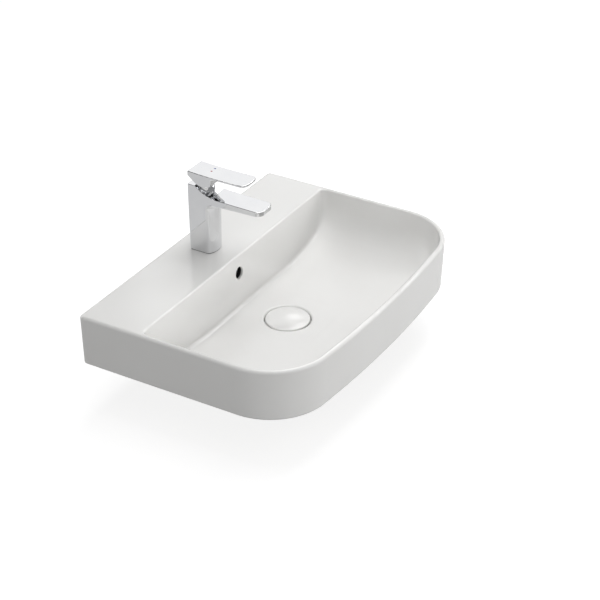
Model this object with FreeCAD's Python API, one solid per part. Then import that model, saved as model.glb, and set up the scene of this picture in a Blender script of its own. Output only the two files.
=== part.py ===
import math
import os

import FreeCAD
import Part

Vec = FreeCAD.Vector

# The part's frame: X to the user's right, Y towards the wall, Z up, in millimetres.
# The origin is where the waste axis crosses the counter top.

# Basin: outline and apron
basin_width = 600.0
waste_to_back = 220.0
waste_to_front = 200.0
apron_height = 95.0
apron_draft = 3.5
front_bow_radius = 2200.0
front_corner_radius = 110.0
back_corner_radius = 7.0
top_edge_radius = 5.5
foot_edge_radius = 5.0

# Basin: ceramic thickness
wall = 11.0
deck_wall = 12.0

# Basin: bowl
rim_width = 9.0
rim_edge_radius = 3.0
deck_depth = 119.5
bowl_back_corner = 14.0
side_fullness = 3.2
back_wall_draft = 0.1
crease_radius = 7.0
crease_least = 1.0
floor_patch_half = 70.0
floor_patch_corner = 48.0
bowl_sections = 12
lip_sections = 5

# Basin: overflow
overflow_radius = 11.0
overflow_edge_radius = 2.0
overflow_lead = 0.2
overflow_below_deck = 33.5
duct_half_width = 15.0
duct_depth = 14.0
duct_wall = 7.0
duct_bend_radius = 8.0
duct_floor_drop = 21.0
duct_height = 15.0

# Waste: cover and its recess in the bowl floor
cover_radius = 39.5
cover_gap = 1.3
cover_thickness = 4.9
cover_dome = 3.0
cover_edge_radius = 2.6
cover_skirt_draft = 1.5
recess_edge_radius = 4.5

# Waste: seals, carrier and plunger
cover_seal_radius = 27.0
cover_seal_thickness = 1.4
seal_gap = 0.2
carrier_radius = 20.0
carrier_thickness = 2.4
plunger_radius = 5.0
plunger_spigot_radius = 3.0
plunger_length = 30.6
cover_crown_wall = 3.8
cover_travel = 8.0
slide_clearance = 0.05

# Waste: flanged body
waste_radius = 20.95
waste_bore_radius = 18.0
flange_radius = 33.5
flange_thickness = 3.0
flange_mouth_radius = 22.0
waste_slot_width = 9.0
waste_slots = 4
waste_hole_radius = 23.0
waste_tail = 24.0
tail_groove_width = 2.0
tail_groove_depth = 0.6
tail_chamfer = 1.0
top_gasket_thickness = 1.5

# Waste: click mechanism
housing_wall = 2.2
housing_ring_height = 9.0
housing_ring_wall = 2.0
housing_spokes = 3
housing_spoke_width = 2.6
housing_top_drop = 13.0
spring_radius = 5.6
spring_wall = 1.3
spring_length = 12.0
spring_clearance = 0.4

# Waste: underside
boss_wall = 8.0
boss_radius = 40.0
boss_depth = 50.0
chamber_radius = 31.0
lower_gasket_thickness = 4.0
lower_gasket_radius = 34.0
slip_washer_thickness = 2.0
backnut_height = 14.0
backnut_radius = 29.0
backnut_lugs = 8
backnut_lug_width = 7.0
backnut_lug_length = 4.0
thread_clearance = 0.3

# Tap: column and spout, its top height above the deck
tap_to_back = 58.0
tap_hole_radius = 17.5
column_foot = 42.0
column_head = 44.0
column_back_extra = 2.0
column_front_extra = 1.7
column_front_bow = 35.0
column_front_radius = 8.0
column_back_radius = 3.0
flare_radius = 10.0
flare_sections = 5
tap_top = 127.7
scoop_behind = 9.0
scoop_ahead = 37.0
scoop_depth = 17.7
spout_root_depth = 12.2
spout_fall = 1.2
spout_tip_thickness = 8.0
spout_reach = 122.0
spout_corner_radius = 12.0
chrome_edge_radius = 0.8

# Tap: water ways and aerator
inlet_radius = 4.6
inlet_depth = 14.0
inlet_spacing = 14.4
inlet_ahead = 4.0
supply_radius = 3.0
channel_half_width = 9.0
channel_height = 2.8
channel_mouth_rise = 4.5
aerator_setback = 18.0
aerator_radius = 8.2
aerator_depth = 3.0
aerator_wall = 1.2
aerator_clearance = 0.1
aerator_seal_thickness = 0.8
aerator_seal_wall = 2.0
aerator_hole_radius = 0.65
aerator_hole_pitch = 2.2
aerator_hole_rim = 0.65
aerator_rows = 3
aerator_insert_recess = 0.4

# Tap: cartridge
cartridge_bore_radius = 13.0
cartridge_clearance = 0.3
cartridge_base_height = 5.0
port_radius = 2.6
port_offset = 6.2
port_angles = (210.0, 330.0, 90.0)
port_seal_wall = 1.1
port_seal_height = 1.2
disc_radius = 8.0
disc_thickness = 3.0
disc_gap = 0.15
disc_pocket_radius = 3.6
disc_pocket_depth = 1.5
fixed_disc_radius = 10.4
carrier_height = 4.4
stem_ball_radius = 2.5
stem_ball_clearance = 0.4
stem_ball_floor_gap = 0.75
lower_arm = 11.6
lift_angle = 22.0
pivot_drop = 12.7
pivot_pin_radius = 1.4
pivot_clearance = 0.05
stem_width = 7.0
stem_clearance = 0.4
stem_entry = 4.0
shoulder_wall = 1.2
housing_radial_wall = 1.6
rotor_radius = 9.3
rotor_neck_radius = 7.8
rotor_neck_rise = 3.2
rotor_head_rise = 5.0
rotor_clearance = 0.05
housing_lid = 2.0
nut_height = 4.0
neck_clearance = 0.35
dome_radius = 15.5
dome_wall = 2.4
dome_height = 16.0
dome_mouth_radius = 11.0
dome_edge_radius = 1.8
dome_clearance = 0.2

# Tap: lever, its heights from the tap's top upwards and distances ahead of the tap axis
lever_width = 44.0
lever_back = -22.5
lever_tip = 92.0
lever_height = 21.2
lever_back_rise = 2.0
lever_tip_rise = 1.0
lever_back_thickness = 7.5
lever_tip_thickness = 3.4
lever_corner_radius = 12.0
hub_back = -6.5
hub_back_rise = 3.0
hub_low = 10.0
hub_gap = 1.5
hub_front = 23.5
hub_front_rise = 5.3
hub_wall = 4.0
hub_fillet = 4.0
hub_roof = 7.4
socket_wall = 3.6
socket_clearance = 0.05
screw_drop = 5.0
screw_radius = 2.5
plug_radius = 3.2
plug_depth = 3.0
dot_radius = 1.7
dot_depth = 0.6
dot_ahead = 12.0
dot_pitch = 11.0
first_dot_offset = 0.5

# Tap: fixing under the deck
base_gasket_thickness = 1.2
base_gasket_inset = 0.8
spigot_radius = 16.0
spigot_depth = 8.0
stud_radius = 4.0
stud_behind = 10.0
stud_entry = 10.0
stud_length = 60.0
horseshoe_radius = 23.0
horseshoe_slot_half = 12.5
horseshoe_slot_back = 3.5
horseshoe_gasket_thickness = 3.0
horseshoe_plate_thickness = 2.5
fixing_nut_height = 6.5
fixing_nut_radius = 7.5
nut_sides = 6

# How far a cut runs past the face it opens, and how closely edges are matched
cut_margin = 1.0
match_tolerance = 1e-3

# Places worked out from the sizes above
half_width = basin_width / 2
aerator_reach = spout_reach - aerator_setback
deck_edge = waste_to_back - deck_depth
tap_y = waste_to_back - tap_to_back
overflow_height = apron_height - overflow_below_deck
recess_radius = cover_radius + cover_gap
flange_top = -cover_thickness - cover_seal_thickness - seal_gap
gasket_top = flange_top - flange_thickness
seat_level = gasket_top - top_gasket_thickness
boss_bottom = -boss_depth
nut_top = boss_bottom - lower_gasket_thickness - slip_washer_thickness
nut_bottom = nut_top - backnut_height
tail_bottom = nut_bottom - waste_tail
duct_top_level = -duct_floor_drop
duct_bottom_level = duct_top_level - duct_height
carrier_bottom = -cover_thickness - carrier_thickness
plunger_bottom = carrier_bottom - plunger_length
spigot_top = cover_dome - cover_crown_wall
housing_top = -housing_top_drop
spring_bottom = plunger_bottom - spring_length
guide_radius = plunger_radius + slide_clearance
spring_pocket_radius = spring_radius + spring_clearance
housing_radius = spring_pocket_radius + housing_wall
spout_top = tap_top - scoop_depth
spout_root = spout_top - spout_root_depth
spout_tip_underside = spout_top - spout_fall - spout_tip_thickness
pivot_height = tap_top - pivot_drop
ball_height = pivot_height - lower_arm
carrier_floor = ball_height - stem_ball_radius - stem_ball_floor_gap
moving_disc_bottom = carrier_floor - disc_thickness
fixed_disc_top = moving_disc_bottom - disc_gap
fixed_disc_bottom = fixed_disc_top - disc_thickness
chamber_floor = fixed_disc_bottom - cartridge_base_height
hub_low_height = tap_top + hub_gap
hub_back_height = hub_low_height + hub_back_rise
hub_front_height = hub_low_height + hub_front_rise
lever_top_middle = hub_low_height + lever_height
lever_top_back = lever_top_middle + lever_back_rise
lever_top_tip = lever_top_middle + lever_tip_rise
hub_ceiling = lever_top_middle - hub_roof
stem_top = hub_ceiling + stem_entry
screw_height = hub_ceiling - screw_drop
disc_travel = lower_arm * math.sin(math.radians(lift_angle))
cartridge_radius = cartridge_bore_radius - cartridge_clearance
housing_upper_radius = rotor_radius + rotor_clearance + housing_radial_wall
rotor_bottom = carrier_floor + carrier_height + stem_clearance
rotor_shoulder = pivot_height - rotor_neck_rise
housing_shoulder = rotor_bottom + shoulder_wall
rotor_top = pivot_height + rotor_head_rise
housing_top_level = rotor_shoulder + neck_clearance + housing_lid
stem_half = stem_width / 2


def cylinder(radius, low, high, x=0.0, y=0.0):
    return Part.makeCylinder(radius, high - low, Vec(x, y, low))


def ring(outer, inner, low, high, x=0.0, y=0.0):
    return cylinder(outer, low, high, x, y).cut(cylinder(inner, low, high, x, y))


def block(x_low, x_high, y_low, y_high, z_low, z_high):
    size = (x_high - x_low, y_high - y_low, z_high - z_low)
    return Part.makeBox(*size, Vec(x_low, y_low, z_low))


def line(start, end):
    return Part.LineSegment(start, end).toShape()


def arc(start, middle, end):
    return Part.Arc(start, middle, end).toShape()


def bend(points):
    # A smooth corner, tangent at its ends to the lines that meet at its middle point.
    curve = Part.BezierCurve()
    curve.setPoles(points)
    return curve.toShape()


def corner_points(centre, radius, start_angle, end_angle):
    angles = (start_angle, (start_angle + end_angle) / 2, end_angle)
    return [centre + Vec(radius * math.cos(a), radius * math.sin(a), 0) for a in angles]


def turned(points):
    # A solid of revolution about Z from (radius, height) points.
    outline = Part.makePolygon([Vec(r, 0, z) for r, z in points + points[:1]])
    return Part.Face(outline).revolve(Vec(0, 0, 0), Vec(0, 0, 1), 360)


def side_prism(edges, half):
    # A profile in the YZ plane, pulled out evenly to both sides.
    face = Part.Face(Part.Wire(Part.__sortEdges__(edges)))
    face.translate(Vec(-half, 0, 0))
    return face.extrude(Vec(2 * half, 0, 0))


def along_edges(shape, direction, test):
    # The straight edges that run one way and whose middles pass a test.
    found = []
    for edge in shape.Edges:
        if not isinstance(edge.Curve, Part.Line):
            continue
        across = edge.tangentAt(edge.FirstParameter).cross(direction).Length
        if across < match_tolerance and test(edge.CenterOfMass):
            found.append(edge)
    return found


def level_edges(shape, level, reach):
    # The edges that lie at one height and within a distance of the waste axis.
    found = []
    for edge in shape.Edges:
        box = edge.BoundBox
        off_level = max(abs(box.ZMin - level), abs(box.ZMax - level))
        out = max(abs(box.XMin), abs(box.XMax), abs(box.YMin), abs(box.YMax))
        if off_level < match_tolerance and out < reach + match_tolerance:
            found.append(edge)
    return found


def to_tap(shape):
    moved = shape.copy()
    moved.translate(Vec(0, tap_y, apron_height))
    return moved


def nut_blank(radius, low, high, x=0.0, y=0.0):
    angles = [2 * math.pi * i / nut_sides for i in range(nut_sides)]
    points = [Vec(x + radius * math.cos(a), y + radius * math.sin(a), low) for a in angles]
    return Part.Face(Part.makePolygon(points + points[:1])).extrude(Vec(0, 0, high - low))


def mirrored(points):
    return [Vec(-p.x, p.y, p.z) for p in reversed(points)]


def front_corner(half, front, bow_radius, radius, level):
    # The right front corner: an arc tangent to the bowed front and to the straight side.
    bow_y = front + bow_radius
    inner = half - radius
    rise = math.sqrt((bow_radius - radius) ** 2 - inner ** 2)
    centre = Vec(inner, bow_y - rise, level)
    return corner_points(centre, radius, math.atan2(-rise, inner), 0.0)


def bowl_wire(half, front, back, front_radius, corner_along, corner_across, level):
    # Straight back and sides, a bowed front, round front corners and drawn-out back corners.
    right = front_corner(half, front, front_bow_radius, front_radius, level)
    left = mirrored(right)
    back_right = [
        Vec(half, back - corner_across, level),
        Vec(half, back, level),
        Vec(half - corner_along, back, level),
    ]
    back_left = mirrored(back_right)
    edges = [
        arc(*right),
        line(right[2], back_right[0]),
        bend(back_right),
        line(back_right[2], back_left[0]),
        bend(back_left),
        line(back_left[2], left[0]),
        arc(*left),
        arc(left[2], Vec(0, front, level), right[0]),
    ]
    return Part.Wire(edges)


def apron_wire(inset, level, back):
    # The apron's plan with square back corners, drawn in evenly all along the front and sides.
    half = half_width - inset
    front = inset - waste_to_front
    right = front_corner(half, front, front_bow_radius - inset, front_corner_radius - inset, level)
    left = mirrored(right)
    back_right = Vec(half, back, level)
    back_left = Vec(-half, back, level)
    edges = [
        arc(*right),
        line(right[2], back_right),
        line(back_right, back_left),
        line(back_left, left[0]),
        arc(*left),
        arc(left[2], Vec(0, front, level), right[0]),
    ]
    return Part.Wire(edges)


def drafted_block(low, high):
    # A solid between two matching outlines: flat walls on their lines, conical ones on their arcs.
    # The floor faces down, and sewing turns the other faces outwards like it.
    floor = Part.Face(low)
    floor.reverse()
    faces = [floor, Part.Face(high)]
    for lower, upper in zip(low.Edges, high.Edges):
        start_low = lower.valueAt(lower.FirstParameter)
        start_high = upper.valueAt(upper.FirstParameter)
        end_low = lower.valueAt(lower.LastParameter)
        end_high = upper.valueAt(upper.LastParameter)
        if isinstance(lower.Curve, Part.Line):
            corners = [start_low, end_low, end_high, start_high, start_low]
            faces.append(Part.Face(Part.makePolygon(corners)))
        else:
            turn = math.degrees(lower.LastParameter - lower.FirstParameter)
            slope = line(start_low, start_high)
            faces.append(slope.revolve(lower.Curve.Center, lower.Curve.Axis, turn))
    shell = Part.makeShell(faces)
    shell.sewShape()
    return Part.makeSolid(shell)


def bowl_outline(depth_share, grow, level):
    # One level cut of the bowl: full sides that round into a dished floor, and an upright back wall
    # that meets them in a tight crease. The flatter the side, the longer the crease's level cut.
    left_over = 1 - depth_share ** side_fullness
    side = 1 - left_over ** (1 / side_fullness)
    top_half = half_width - rim_width
    top_front = rim_width - waste_to_front
    top_corner = front_corner_radius - rim_width
    half = top_half - side * (top_half - floor_patch_half)
    front = top_front + side * (-floor_patch_half - top_front)
    front_radius = top_corner + side * (floor_patch_corner - top_corner)
    height = apron_height * (1 - depth_share)
    reach = max(crease_radius - height, 0.0)
    heel = crease_radius - math.sqrt(crease_radius ** 2 - reach ** 2)
    rear = deck_edge - back_wall_draft * (apron_height - height) - heel
    radius = bowl_back_corner + (crease_radius - bowl_back_corner) * depth_share
    run = depth_share ** (side_fullness - 1) * (top_half - floor_patch_half)
    rise = left_over ** (1 - 1 / side_fullness) * apron_height
    spread = radius * math.hypot(run, rise)
    longest = half - floor_patch_corner / 4
    along = longest if spread > longest * rise else spread / rise
    across = max(radius - heel, crease_least)
    return bowl_wire(
        half + grow,
        front - grow,
        rear + grow,
        front_radius + grow,
        along + grow,
        across + grow,
        level,
    )


def bowl_solid(grow, drop, start_depth):
    # The bowl from a depth below its mouth down to the floor, grown outwards and lowered.
    # Its level cuts crowd towards the mouth and the floor, so that they follow the walls evenly.
    start = math.asin((start_depth / apron_height) ** (side_fullness / 2))
    sections = []
    for step in range(bowl_sections + 1):
        way = step / bowl_sections
        angle = start + (math.pi / 2 - start) * way ** 2 * (3 - 2 * way)
        depth_share = math.sin(angle) ** (2 / side_fullness)
        level = apron_height - drop - depth_share * apron_height
        sections.append(bowl_outline(depth_share, grow, level))
    return Part.makeLoft(sections, True, False)


def bowl_space():
    # The bowl below a lip that rounds over from its walls into the rim and the deck.
    sections = []
    for step in range(lip_sections + 1):
        angle = math.pi / 2 * step / lip_sections
        drop = rim_edge_radius * (1 - math.sin(angle))
        grow = rim_edge_radius * (1 - math.cos(angle))
        sections.append(bowl_outline(drop / apron_height, grow, apron_height - drop))
    lip = Part.makeLoft(sections, True, False)
    return lip.fuse(bowl_solid(0.0, 0.0, rim_edge_radius))


def duct_profile(grow):
    # The overflow duct: down behind the bowl's back wall, then forward under the floor.
    front = deck_edge + wall - back_wall_draft * overflow_below_deck - grow
    back = front + duct_depth + 2 * grow
    top = overflow_height + overflow_radius + grow
    low = duct_bottom_level - grow
    high = duct_top_level + grow
    bend = duct_bend_radius + grow
    turn = bend * math.sqrt(0.5)
    start = Vec(0, 0, low)
    edges = [
        line(start, Vec(0, back - bend, low)),
        arc(
            Vec(0, back - bend, low),
            Vec(0, back - bend + turn, low + bend - turn),
            Vec(0, back, low + bend),
        ),
        line(Vec(0, back, low + bend), Vec(0, back, top)),
        line(Vec(0, back, top), Vec(0, front, top)),
        line(Vec(0, front, top), Vec(0, front, high)),
        line(Vec(0, front, high), Vec(0, 0, high)),
        line(Vec(0, 0, high), start),
    ]
    return side_prism(edges, duct_half_width + grow)


def overflow_hole():
    # A round hole square to the bowl's back wall, with a rounded edge that breaks the wall's face.
    edge = overflow_edge_radius
    mouth = overflow_radius + edge
    end = wall + duct_depth / 2
    bend = edge * (1 - math.sqrt(0.5))
    edges = [
        line(Vec(0, 0, -cut_margin), Vec(mouth, 0, -cut_margin)),
        line(Vec(mouth, 0, -cut_margin), Vec(mouth, 0, 0)),
        arc(Vec(mouth, 0, 0), Vec(overflow_radius + bend, 0, bend), Vec(overflow_radius, 0, edge)),
        line(Vec(overflow_radius, 0, edge), Vec(overflow_radius, 0, end)),
        line(Vec(overflow_radius, 0, end), Vec(0, 0, end)),
        line(Vec(0, 0, end), Vec(0, 0, -cut_margin)),
    ]
    hole = Part.Face(Part.Wire(edges)).revolve(Vec(0, 0, 0), Vec(0, 0, 1), 360)
    hole.rotate(Vec(0, 0, 0), Vec(1, 0, 0), -90 - math.degrees(math.atan(back_wall_draft)))
    mouth_y = deck_edge - back_wall_draft * overflow_below_deck - overflow_lead
    hole.translate(Vec(0, mouth_y, overflow_height))
    return hole


def apron_shell():
    # The drafted apron as a full block with rounded back corners, top edge and foot.
    foot = apron_wire(apron_draft, 0.0, waste_to_back)
    top = apron_wire(0.0, apron_height, waste_to_back)
    shell = drafted_block(foot, top)
    back_level = waste_to_back - match_tolerance
    corners = [e for e in shell.Edges if e.BoundBox.YMin > back_level and e.BoundBox.ZLength > wall]
    shell = shell.makeFillet(back_corner_radius, corners)
    reach = max(half_width, waste_to_back)
    shell = shell.makeFillet(top_edge_radius, level_edges(shell, apron_height, reach))
    return shell.makeFillet(foot_edge_radius, level_edges(shell, 0.0, reach))


def waste_boss():
    # The thickened underside round the cover's recess, coned down to the waste's seat.
    wide = recess_radius + boss_wall
    wide_bottom = seat_level - boss_wall
    return turned(
        [
            (0.0, 0.0),
            (wide, 0.0),
            (wide, wide_bottom),
            (boss_radius, wide_bottom - (wide - boss_radius)),
            (boss_radius, boss_bottom),
            (0.0, boss_bottom),
        ]
    )


def basin_body():
    inner_back = waste_to_back - wall
    hollow = drafted_block(
        apron_wire(apron_draft + wall, boss_bottom, inner_back),
        apron_wire(wall, apron_height - deck_wall, inner_back),
    )
    belly = bowl_solid(wall, wall, 0.0).common(hollow)
    ceramic = apron_shell().cut(hollow)
    for mass in (belly, waste_boss(), duct_profile(duct_wall)):
        ceramic = ceramic.fuse(mass)
    recess = cylinder(recess_radius, seat_level, wall)
    waste_hole = cylinder(waste_hole_radius, boss_bottom, 0.0)
    chamber = cylinder(chamber_radius, duct_bottom_level, duct_top_level)
    deck_low = apron_height - deck_wall
    tap_hole = cylinder(tap_hole_radius, deck_low - cut_margin, apron_height + cut_margin, 0.0, tap_y)
    spaces = [bowl_space(), duct_profile(0.0), overflow_hole(), recess, waste_hole, chamber, tap_hole]
    for space in spaces:
        ceramic = ceramic.cut(space)
    ceramic = ceramic.removeSplitter()
    return ceramic.makeFillet(recess_edge_radius, level_edges(ceramic, 0.0, recess_radius))


def waste_cover():
    # A shallow spherical dome with a rounded rim and a slightly drawn-in skirt.
    skirt = cover_radius - cover_skirt_draft
    chord = cover_radius - cover_edge_radius
    ball = (chord ** 2 + cover_dome ** 2) / (2 * cover_dome)
    half_turn = math.asin(chord / ball) / 2
    middle = Vec(ball * math.sin(half_turn), 0, cover_dome - ball * (1 - math.cos(half_turn)))
    bend = cover_edge_radius * math.sqrt(0.5)
    edges = [
        arc(Vec(0, 0, cover_dome), middle, Vec(chord, 0, 0)),
        arc(
            Vec(chord, 0, 0),
            Vec(chord + bend, 0, bend - cover_edge_radius),
            Vec(cover_radius, 0, -cover_edge_radius),
        ),
        line(Vec(cover_radius, 0, -cover_edge_radius), Vec(skirt, 0, -cover_thickness)),
        line(Vec(skirt, 0, -cover_thickness), Vec(0, 0, -cover_thickness)),
        line(Vec(0, 0, -cover_thickness), Vec(0, 0, cover_dome)),
    ]
    face = Part.Face(Part.Wire(Part.__sortEdges__(edges)))
    body = face.revolve(Vec(0, 0, 0), Vec(0, 0, 1), 360)
    socket = cylinder(plunger_spigot_radius, -cover_thickness, spigot_top)
    return body.cut(socket)


def cover_carrier():
    return ring(carrier_radius, plunger_spigot_radius, carrier_bottom, -cover_thickness)


def cover_seal():
    low = -cover_thickness - cover_seal_thickness
    return ring(cover_seal_radius, carrier_radius, low, -cover_thickness)


def waste_plunger():
    stem = cylinder(plunger_radius, plunger_bottom, carrier_bottom)
    return stem.fuse(cylinder(plunger_spigot_radius, carrier_bottom, spigot_top))


def click_housing():
    ring_low = housing_top - housing_ring_height
    floor = spring_bottom - housing_wall
    hub = cylinder(housing_radius, floor, housing_top)
    outer = ring(waste_bore_radius, waste_bore_radius - housing_ring_wall, ring_low, housing_top)
    spokes = []
    for i in range(housing_spokes):
        half = housing_spoke_width / 2
        reach = waste_bore_radius - housing_ring_wall / 2
        spoke = block(0.0, reach, -half, half, ring_low, housing_top)
        spoke.rotate(Vec(0, 0, 0), Vec(0, 0, 1), 360.0 * i / housing_spokes)
        spokes.append(spoke)
    body = hub.fuse(spokes + [outer])
    guide = cylinder(guide_radius, floor + housing_wall, housing_top)
    pocket = cylinder(spring_pocket_radius, spring_bottom, plunger_bottom + cover_travel)
    return body.cut([guide, pocket])


def click_spring():
    return ring(spring_radius, spring_radius - spring_wall, spring_bottom, plunger_bottom)


def waste_body():
    # A flanged tube with a relief groove below the nut and a chamfered tail.
    groove_radius = waste_radius - tail_groove_depth
    groove_bottom = nut_bottom - tail_groove_width
    body = turned(
        [
            (flange_mouth_radius, flange_top),
            (flange_radius - flange_thickness / 2, flange_top),
            (flange_radius, flange_top - flange_thickness / 2),
            (flange_radius, gasket_top),
            (waste_radius, gasket_top),
            (waste_radius, nut_bottom),
            (groove_radius, nut_bottom),
            (groove_radius, groove_bottom),
            (waste_radius, groove_bottom),
            (waste_radius, tail_bottom + tail_chamfer),
            (waste_radius - tail_chamfer, tail_bottom),
            (waste_bore_radius, tail_bottom),
            (waste_bore_radius, gasket_top - flange_thickness),
        ]
    )
    slots = []
    for i in range(waste_slots):
        half = waste_slot_width / 2
        low = duct_bottom_level + half
        high = duct_top_level - half
        slot = block(0.0, flange_radius, -half, half, low, high)
        slot.rotate(Vec(0, 0, 0), Vec(0, 0, 1), 360.0 * (i + 0.5) / waste_slots)
        slots.append(slot)
    return body.cut(slots)


def waste_top_gasket():
    return ring(flange_radius, waste_hole_radius, seat_level, gasket_top)


def waste_bottom_gasket():
    low = boss_bottom - lower_gasket_thickness
    inner = waste_radius + thread_clearance
    return turned(
        [
            (inner, boss_bottom),
            (lower_gasket_radius - lower_gasket_thickness / 2, boss_bottom),
            (lower_gasket_radius, low),
            (inner, low),
        ]
    )


def waste_slip_washer():
    top = nut_top + slip_washer_thickness
    return ring(lower_gasket_radius, waste_radius + thread_clearance, nut_top, top)


def waste_backnut():
    lugs = []
    for i in range(backnut_lugs):
        half = backnut_lug_width / 2
        lug = block(0.0, backnut_radius + backnut_lug_length, -half, half, nut_bottom, nut_top)
        lug.rotate(Vec(0, 0, 0), Vec(0, 0, 1), 360.0 * i / backnut_lugs)
        lugs.append(lug)
    return cylinder(backnut_radius, nut_bottom, nut_top).fuse(lugs).cut(
        cylinder(waste_radius, nut_bottom, nut_top)
    )


def column_plan(half, ahead, bow_radius, front_radius, back_radius, level):
    # Plan of the tap's column at one height: flat sides and back, and a bowed front pulled ahead.
    front = -half - column_front_extra - ahead
    rear = half + column_back_extra
    right = front_corner(half, front, bow_radius, front_radius, level)
    left = mirrored(right)
    centre = Vec(half - back_radius, rear - back_radius, level)
    back_right = corner_points(centre, back_radius, 0.0, math.pi / 2)
    back_left = mirrored(back_right)
    edges = [
        arc(*right),
        line(right[2], back_right[0]),
        arc(*back_right),
        line(back_right[2], back_left[0]),
        arc(*back_left),
        line(back_left[2], left[0]),
        arc(*left),
        arc(left[2], Vec(0, front, level), right[0]),
    ]
    return Part.Wire(edges)


def column_section(level, ahead, front_radius):
    grown = min(level / spout_root, 1.0)
    half = (column_foot + (column_head - column_foot) * grown) / 2
    return column_plan(half, ahead, column_front_bow, front_radius, column_back_radius, level)


def spout_underside(ahead):
    share = (ahead - column_head / 2) / (spout_reach - column_head / 2)
    return spout_root + share * (spout_tip_underside - spout_root)


def spout_upper(ahead):
    return spout_top - spout_fall * (ahead - scoop_ahead) / (spout_reach - scoop_ahead)


def scoop_arc():
    # The hollow sweep from the column's top down to the spout, level where it meets the spout.
    run = scoop_behind + scoop_ahead
    rise = tap_top - spout_top
    radius = (run ** 2 + rise ** 2) / (2 * rise)
    centre = Vec(0, -scoop_ahead, spout_top + radius)
    half_turn = math.asin(run / radius) / 2
    middle = centre + Vec(0, radius * math.sin(half_turn), -radius * math.cos(half_turn))
    return arc(Vec(0, scoop_behind, tap_top), middle, Vec(0, -scoop_ahead, spout_top))


def spout_prism():
    half = column_head / 2
    rear = half + column_back_extra
    back_low = Vec(0, rear, spout_root)
    back_high = Vec(0, rear, tap_top)
    tip_high = Vec(0, -spout_reach, spout_upper(spout_reach))
    tip_low = Vec(0, -spout_reach, spout_tip_underside)
    root = Vec(0, -half, spout_root)
    edges = [
        line(back_low, back_high),
        line(back_high, Vec(0, scoop_behind, tap_top)),
        scoop_arc(),
        line(Vec(0, -scoop_ahead, spout_top), tip_high),
        line(tip_high, tip_low),
        line(tip_low, root),
        line(root, back_low),
    ]
    prism = side_prism(edges, half)
    up = Vec(0, 0, 1)
    tips = along_edges(prism, up, lambda p: p.y < -scoop_ahead)
    prism = prism.makeFillet(spout_corner_radius, tips)
    backs = along_edges(prism, up, lambda p: p.y > scoop_behind)
    prism = prism.makeFillet(column_back_radius, backs)
    crisp = [e for e in prism.Edges if e.BoundBox.ZMin > spout_upper(spout_reach) - cut_margin]
    return prism.makeFillet(chrome_edge_radius, crisp)


def tap_column():
    # A tapering column whose front flares out in a quarter round to meet the spout.
    flare_start = spout_root - flare_radius
    low = Part.makeLoft(
        [
            column_section(base_gasket_thickness, 0.0, column_front_radius),
            column_section(flare_start, 0.0, column_front_radius),
        ],
        True,
        True,
    )
    sections = []
    for step in range(flare_sections + 1):
        angle = math.pi / 2 * step / flare_sections
        ahead = flare_radius * (1 - math.cos(angle))
        sharpening = math.sin(angle) ** 2
        radius = column_front_radius - (column_front_radius - column_back_radius) * sharpening
        level = flare_start + flare_radius * math.sin(angle)
        sections.append(column_section(level, ahead, radius))
    flare = Part.makeLoft(sections, True, False)
    return low.fuse(flare)


def tap_channel():
    mouth = chamber_floor + channel_mouth_rise
    bend = scoop_ahead
    low = aerator_levels()[2]
    top = low + channel_height
    points = [
        Vec(0, 0, chamber_floor),
        Vec(0, -cartridge_bore_radius / 2, mouth),
        Vec(0, -bend, top),
        Vec(0, -aerator_reach, top),
        Vec(0, -aerator_reach, low),
        Vec(0, -bend, low),
        Vec(0, -cartridge_bore_radius, chamber_floor),
    ]
    edges = [line(points[i], points[(i + 1) % len(points)]) for i in range(len(points))]
    return side_prism(edges, channel_half_width)


def inlet_places():
    return [(side * inlet_spacing / 2, -inlet_ahead) for side in (-1, 1)]


def aerator_levels():
    low = spout_underside(aerator_reach)
    return low, low + aerator_depth, low + aerator_depth + aerator_seal_thickness


def tap_body():
    body = spout_prism().fuse(tap_column())
    body = body.fuse(cylinder(spigot_radius, -spigot_depth, base_gasket_thickness))
    low, seat, top = aerator_levels()
    cuts = [
        cylinder(cartridge_bore_radius, chamber_floor, spout_top),
        cylinder(dome_radius + dome_clearance, spout_top, tap_top + dome_height),
        tap_channel(),
        cylinder(aerator_radius + aerator_clearance, low - cut_margin, top, 0.0, -aerator_reach),
        cylinder(stud_radius, -spigot_depth, stud_entry, 0.0, stud_behind),
    ]
    for x, y in inlet_places():
        cuts.append(cylinder(inlet_radius, -spigot_depth, inlet_depth - spigot_depth, x, y))
        cuts.append(cylinder(supply_radius, 0.0, chamber_floor + cut_margin, x, y))
    return to_tap(body.cut(cuts).removeSplitter())


def tap_base_gasket():
    inset = base_gasket_inset
    plan = column_plan(
        column_foot / 2 - inset,
        0.0,
        column_front_bow - inset,
        column_front_radius - inset,
        column_back_radius - inset,
        0.0,
    )
    pad = Part.Face(plan).extrude(Vec(0, 0, base_gasket_thickness))
    return to_tap(pad.cut(cylinder(spigot_radius, 0.0, base_gasket_thickness)))


def aerator_shell():
    low, seat, top = aerator_levels()
    return to_tap(ring(aerator_radius, aerator_radius - aerator_wall, low, seat, 0.0, -aerator_reach))


def aerator_insert():
    low, seat, top = aerator_levels()
    radius = aerator_radius - aerator_wall
    body = cylinder(radius, low + aerator_insert_recess, seat, 0.0, -aerator_reach)
    holes = []
    for row in range(-aerator_rows, aerator_rows + 1):
        for column in range(-aerator_rows, aerator_rows + 1):
            x = (column + 0.5 * (row % 2)) * aerator_hole_pitch
            y = row * aerator_hole_pitch * math.sqrt(0.75)
            if math.hypot(x, y) < radius - aerator_hole_radius - aerator_hole_rim:
                holes.append(cylinder(aerator_hole_radius, low, seat, x, y - aerator_reach))
    return to_tap(body.cut(holes))


def aerator_seal():
    low, seat, top = aerator_levels()
    return to_tap(ring(aerator_radius, aerator_radius - aerator_seal_wall, seat, top, 0.0, -aerator_reach))


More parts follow.
